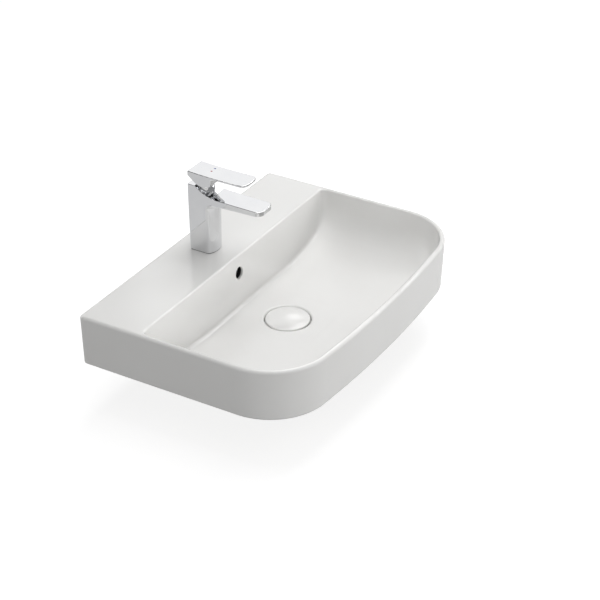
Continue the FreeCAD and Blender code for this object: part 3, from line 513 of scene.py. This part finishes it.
def makeWaste():
    low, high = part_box("waste_body")
    look, middle = wasteLook, (low + high) / 2
    core, crest, bore, mouth, flange = (look[key] for key in ("core", "crest", "bore", "mouth", "flange"))
    slotTop, slotLow, threadTop, chamfer = (look[key] for key in ("slotTop", "slotLow", "threadTop", "chamfer"))
    top, seat, half = high.z, high.z - look["flangeHeight"], look["flangeHeight"] / 2
    outer = [(mouth, top), (flange - half, top), (flange, top - half), (flange, seat),
             (crest, seat), (crest, slotTop), (crest, slotLow), (crest, threadTop),
             (core, threadTop - (crest - core)), (core, low.z + chamfer), (core - chamfer, low.z)]
    inner = [(bore, low.z), (bore, slotLow), (bore, slotTop), (bore, seat - look["flangeHeight"]), (mouth, top)]
    bm = bmesh.new()
    turnProfile(bm, outer + inner, middle, look["steps"])
    bmesh.ops.remove_doubles(bm, verts=bm.verts, dist=pieceLook["weld"])
    for i in range(look["slots"]):
        cutSlot(bm, middle, math.tau * (i + 0.5) / look["slots"], look)
    addThread(bm, middle, look, low.z + chamfer / 2, threadTop)
    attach(finishPiece(bm, "wasteTail", "waste_body"), "base")


makeStud()
makeNut()
makeSpring()
makeWaste()
print("threads and turns: stud, nut, spring, waste")


# Stage

stageLook = {"reach": 9.0, "drop": 0.0005, "colour": (0.35, 0.35, 0.35, 1), "rough": 0.9,
             "glow": 0.8, "mirrorGlow": 0.4}


def makeStage():
    look = stageLook
    bm = bmesh.new()
    bmesh.ops.create_grid(bm, x_segments=2, y_segments=2, size=look["reach"])
    bmesh.ops.translate(bm, verts=bm.verts, vec=(0, 0, cadLow.z - look["drop"]))
    floor = addObject("floor", meshFrom(bm, "floor"))
    finish, tree, shader = newFinish("paleFloor")
    shader.inputs["Base Color"].default_value = look["colour"]
    shader.inputs["Roughness"].default_value = look["rough"]
    shader.inputs["Specular IOR Level"].default_value = 0.0
    # near white to the camera, darker in the chrome's mirror
    ray = place(tree, "ShaderNodeLightPath").outputs
    mirrored = reckon(tree, "MAXIMUM", ray["Is Glossy Ray"], ray["Is Transmission Ray"])
    dimmed = reckon(tree, "MULTIPLY", mirrored, look["mirrorGlow"])
    glow = reckon(tree, "MULTIPLY_ADD", ray["Is Camera Ray"], look["glow"], dimmed)
    shader.inputs["Emission Color"].default_value = white
    tree.links.new(glow, shader.inputs["Emission Strength"])
    floor.data.materials.append(finish)


makeStage()


# Light

lightRig = {
    "aim": (0.0, 0.0, 0.06), "away": 2.5, "world": 0.08,
    "backdrop": 0.34, "backdropTop": (0.6, 0.7),  # pale walls for reflections alone, and where they end
    "horizon": 0.9,  # what the camera sees past the floor
    "boxes": {  # name: turn from +X, rise, width, height, watts
        "back": (90, 20, 1.6, 1.6, 7.0),
        "left": (180, 20, 1.6, 1.6, 12.8),
        "rightHigh": (0, 60, 1.6, 1.6, 25.4),
        "leftHigh": (225, 48, 1.6, 1.6, 8.2),
        "top": (0, 88, 1.6, 1.6, 19.4),
        "frontLow": (270, 7, 0.9, 0.9, 15.0),
        "frontRight": (300, 7, 0.9, 0.9, 12.5),
        "key": (30, 31, 1.0, 1.0, 2.42),
        "glint": (325, 26, 0.7, 0.18, 4.6),
        "spark": (26.5, 30.5, 0.5, 0.55, 3.1),
    },
    "fills": ("left", "frontLow", "frontRight"),  # no mirror image of these
    "snoots": {"spark": "waste_cover"},  # lamps with a soft rim that light one piece alone
    "lampMiddle": (0.5, 0.5, 0), "softRim": (0.02, 0.5),
}


def softenRim(lamp):
    # dims a lamp from its middle to its rim
    lamp.use_nodes = True
    tree = lamp.node_tree
    spot = place(tree, "ShaderNodeNewGeometry").outputs["Parametric"]
    fromMiddle = reckonVector(tree, "DISTANCE", spot, lightRig["lampMiddle"], result="Value")
    fade = remap(tree, fromMiddle, lightRig["softRim"], 1.0, 0.0, interpolation_type="SMOOTHSTEP")
    tree.links.new(fade, tree.nodes["Emission"].inputs["Strength"])


def makeLights():
    aim = Vector(lightRig["aim"])
    for name, (turnAngle, riseAngle, width, height, watts) in lightRig["boxes"].items():
        turn, rise = math.radians(turnAngle), math.radians(riseAngle)
        out = Vector((math.cos(turn) * math.cos(rise), math.sin(turn) * math.cos(rise), math.sin(rise)))
        lamp = bpy.data.lights.new(name, "AREA")
        lamp.shape = "RECTANGLE"
        lamp.size = width
        lamp.size_y = height
        lamp.energy = watts
        holder = addObject(name, lamp)
        holder.location = aim + out * lightRig["away"]
        holder.rotation_euler = (-out).to_track_quat("-Z", "Y").to_euler()
        holder.visible_camera = False
        holder.visible_glossy = name not in lightRig["fills"]
        if name in lightRig["snoots"]:
            softenRim(lamp)
            snoot = bpy.data.collections.new(name)
            snoot.objects.link(nodes[lightRig["snoots"][name]])
            holder.light_linking.receiver_collection = snoot


def makeWorld():
    # a dim room, whose pale lower walls show in metal and glaze
    rig = lightRig
    world = bpy.data.worlds.new("studio")
    world.use_nodes = True
    bpy.context.scene.world = world
    tree = world.node_tree
    sky = tree.nodes["Background"]
    sky.inputs["Color"].default_value = white
    rise = split(tree, place(tree, "ShaderNodeTexCoord").outputs["Generated"])["Z"]
    wall = remap(tree, rise, rig["backdropTop"], rig["backdrop"], rig["world"], interpolation_type="SMOOTHSTEP")
    ray = place(tree, "ShaderNodeLightPath").outputs
    level = mix(tree, "FLOAT", ray["Is Glossy Ray"], rig["world"], wall)
    seen = mix(tree, "FLOAT", ray["Is Camera Ray"], level, rig["horizon"])
    tree.links.new(seen, sky.inputs["Strength"])


makeWorld()
makeLights()
print("stage and light: ready")


# Camera at the photo's angle

cameraView = {"spot": (-2.2948, -1.3737, 1.6510), "turn": -59.548, "pitch": 31.12, "lens": 108.85, "sensor": 36.0}


def makeCamera():
    lens = bpy.data.cameras.new("photoView")
    lens.lens = cameraView["lens"]
    lens.sensor_width = cameraView["sensor"]
    camera = addObject("photoView", lens)
    camera.location = cameraView["spot"]
    camera.rotation_euler = (math.radians(90 - cameraView["pitch"]), 0, math.radians(cameraView["turn"]))
    bpy.context.scene.camera = camera


makeCamera()
bpy.context.scene.view_settings.view_transform = "Standard"
print("camera: ready")
